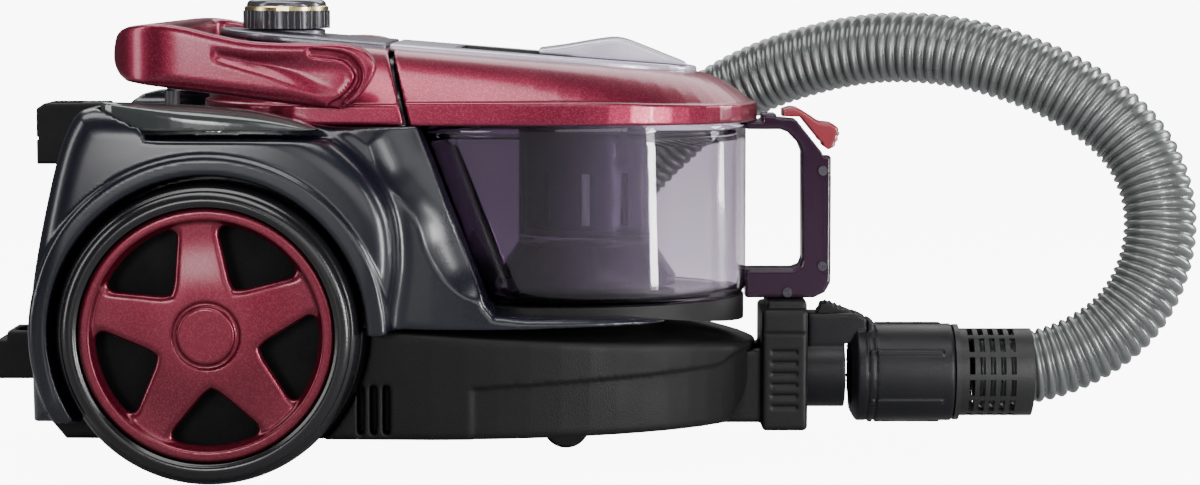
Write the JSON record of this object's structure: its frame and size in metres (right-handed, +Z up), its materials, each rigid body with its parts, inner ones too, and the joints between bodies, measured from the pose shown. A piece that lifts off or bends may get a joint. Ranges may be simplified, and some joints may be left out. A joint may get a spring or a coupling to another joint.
{
  "type": "canister vacuum cleaner",
  "caption": "Bagless canister vacuum cleaner with clear dust bin, carry handle, large spoked rear wheels, front caster and ribbed suction hose.",
  "frame": {"origin": "centre of the floor footprint of the cleaner without its hose, on the floor", "axes": "+X towards the hose inlet at the front, +Z up"},
  "size_m": [0.6871, 0.613, 0.2459],
  "materials": {
    "red_paint": "metallic red lacquer over moulded plastic",
    "navy_gloss": "high-gloss blue-black",
    "matte_black": "fine textured black",
    "satin_black": "satin black",
    "panel_grey": "mauve-grey metallic satin",
    "pad_grey": "dark grey satin",
    "tyre_black": "semi-gloss rubber",
    "gold": "gold-coloured ring",
    "smoke_clear": "smoky lavender clear plastic",
    "purple_clear": "tinted purple plastic",
    "cyclone_purple": "translucent purple-grey plastic",
    "mesh_steel": "fine mesh",
    "steel": "plain steel",
    "seal_rubber": "soft rubber",
    "hose_grey": "silver-grey ribbed hose",
    "filter_white": "pleated filter paper",
    "filter_foam": "black foam",
    "motor_metal": "cast and stamped metal",
    "white_plastic": "plain moulded plastic",
    "board_green": "circuit board"
  },
  "bodies": {
    "body": {"axle_left": "steel", "axle_right": "steel", "bin_seat": "matte_black", "cable_outlet": "seal_rubber", "casing_screws": "steel", "connector_ring": "satin_black", "control_board": "board_green", "exhaust_filter": "filter_white", "handle_pins": "steel", "handle_rests": "satin_black", "hose": "hose_grey", "hose_collar": "satin_black", "hose_connector": "satin_black", "hose_cuff": "satin_black", "hose_handle": "satin_black", "inlet_block": "matte_black", "lower_casing": "matte_black", "motor": "motor_metal", "motor_housing": "white_plastic", "parking_bracket_lower": "matte_black", "parking_bracket_upper": "matte_black", "power_spring": "steel", "pre_filter": "filter_foam", "rear_cover": "red_paint", "reel_axle": "steel", "rewind_spring": "steel", "top_panel": "panel_grey", "upper_casing": "navy_gloss"},
    "wheel_left": {"tyre_left": "tyre_black", "hub_cap_left": "red_paint", "wheel_disc_left": "matte_black"},
    "wheel_right": {"tyre_right": "tyre_black", "hub_cap_right": "red_paint", "wheel_disc_right": "matte_black"},
    "caster_fork": {"caster_fork": "satin_black", "caster_axle": "steel"},
    "caster_wheel": {"caster_wheel": "satin_black"},
    "carry_handle": {"carry_handle": "red_paint"},
    "knob": {"knob_drum": "satin_black", "knob_ring": "gold", "knob_cap": "satin_black"},
    "power_pedal": {"power_pedal": "pad_grey"},
    "rewind_pedal": {"rewind_pedal": "pad_grey"},
    "bin": {"bin_cup": "smoke_clear", "bin_handle": "purple_clear", "handle_insert": "satin_black", "handle_screws": "steel"},
    "bin_trigger": {"bin_trigger": "red_paint"},
    "lid": {"bin_lid": "red_paint", "lid_panel": "panel_grey", "lid_tray": "satin_black", "bin_seal": "seal_rubber", "cyclone_cylinder": "cyclone_purple", "cyclone_skirt": "cyclone_purple", "mesh_filter": "mesh_steel"},
    "lid_lever": {"lid_lever": "panel_grey"},
    "hose_latch": {"hose_latch": "satin_black"},
    "air_slider": {"air_slider": "satin_black"},
    "impeller": {"impeller": "motor_metal"},
    "cord_reel": {"cord_reel": "white_plastic"}
  },
  "joints": [
    {"name": "wheel_left_spin", "type": "hinge", "parent": "body", "child": "wheel_left", "pos_m": [-0.1525, -0.125, 0.07775], "axis": [0, 1, 0], "continuous": true},
    {"name": "wheel_right_spin", "type": "hinge", "parent": "body", "child": "wheel_right", "pos_m": [-0.1525, 0.125, 0.07775], "axis": [0, 1, 0], "continuous": true},
    {"name": "caster_swivel", "type": "hinge", "parent": "body", "child": "caster_fork", "pos_m": [0.036, 0, 0.02], "axis": [0, 0, 1], "continuous": true},
    {"name": "caster_roll", "type": "hinge", "parent": "caster_fork", "child": "caster_wheel", "pos_m": [0.0277, 0, 0.013], "axis": [0, 1, 0], "continuous": true},
    {"name": "carry_handle_lift", "type": "hinge", "parent": "body", "child": "carry_handle", "pos_m": [-0.092, 0, 0.208], "axis": [0, 1, 0], "range_deg": [0, 75]},
    {"name": "knob_turn", "type": "hinge", "parent": "body", "child": "knob", "pos_m": [-0.1243, 0, 0.2302], "axis": [0, 0, 1], "range_deg": [-135, 135]},
    {"name": "power_pedal_press", "type": "slide", "parent": "body", "child": "power_pedal", "axis": [0, 0, -1], "range_m": [0, 0.004], "stiffness_N_per_m": 800, "deforming": ["power_spring"]},
    {"name": "rewind_pedal_press", "type": "slide", "parent": "body", "child": "rewind_pedal", "axis": [0, 0, -1], "range_m": [0, 0.004], "stiffness_N_per_m": 800, "deforming": ["rewind_spring"]},
    {"name": "bin_lift", "type": "slide", "parent": "body", "child": "bin", "axis": [0, 0, 1], "range_m": [0, 0.13]},
    {"name": "trigger_press", "type": "hinge", "parent": "bin", "child": "bin_trigger", "pos_m": [0.1465, 0, 0.1842], "axis": [0, 1, 0], "range_deg": [0, 5], "stiffness_Nm_per_rad": 0.5},
    {"name": "lid_lift", "type": "slide", "parent": "bin", "child": "lid", "axis": [0, 0, 1], "range_m": [0, 0.11]},
    {"name": "lid_lever_lift", "type": "hinge", "parent": "lid", "child": "lid_lever", "pos_m": [0.0935, 0, 0.2104], "axis": [0, 1, 0], "range_deg": [0, 40], "stiffness_Nm_per_rad": 0.3},
    {"name": "hose_latch_press", "type": "slide", "parent": "body", "child": "hose_latch", "axis": [0, 0, -1], "range_m": [0, 0.0025], "stiffness_N_per_m": 600},
    {"name": "air_slider_slide", "type": "slide", "parent": "body", "child": "air_slider", "axis": [-0.9989, 0.0475, 0], "range_m": [0, 0.008]},
    {"name": "impeller_spin", "type": "hinge", "parent": "body", "child": "impeller", "pos_m": [-0.13, -0.04, 0.112], "axis": [1, 0, 0], "continuous": true},
    {"name": "cord_reel_spin", "type": "hinge", "parent": "body", "child": "cord_reel", "pos_m": [-0.15, 0.052, 0.1], "axis": [0, 1, 0], "continuous": true}
  ]
}
